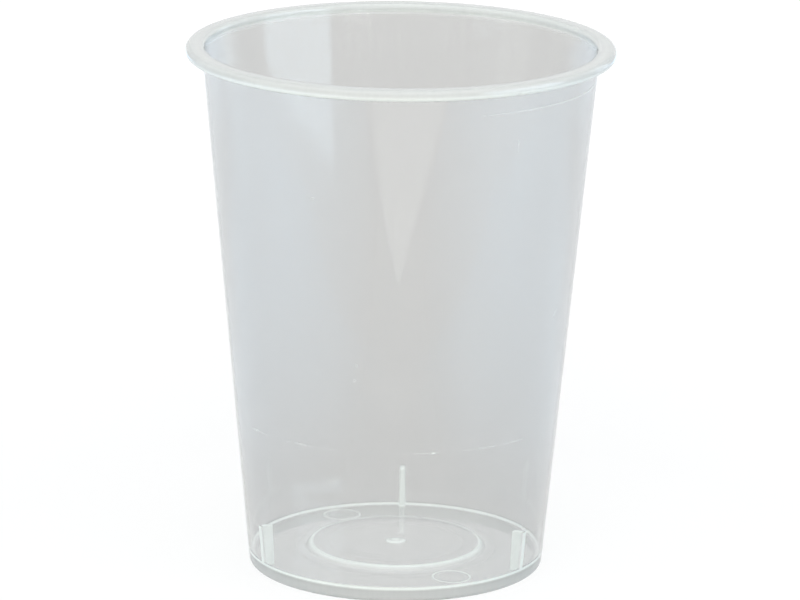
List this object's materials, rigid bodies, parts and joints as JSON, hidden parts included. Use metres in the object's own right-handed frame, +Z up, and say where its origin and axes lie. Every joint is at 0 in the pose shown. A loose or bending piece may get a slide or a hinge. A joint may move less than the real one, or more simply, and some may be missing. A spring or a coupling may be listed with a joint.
{
  "type": "plastic disposable cup",
  "caption": "Tall clear plastic drinking cup with a flat flanged rim, a straight tapered wall, stacking ribs and a recessed floor with a raised disc.",
  "frame": {"origin": "on the cup's axis, in the plane of the foot that it stands on", "axes": "+Z up through the mouth along the cup's axis; +X and +Y are level, with the stacking ribs at 87.4, 207.4 and 327.4 degrees from +X"},
  "size_m": [0.095, 0.095, 0.1184],
  "materials": {
    "clear_pp": "natural polypropylene, moulded gloss, slightly hazy and whiter where it is thick"
  },
  "bodies": {
    "root": {"cup": "clear_pp"}
  },
  "joints": []
}
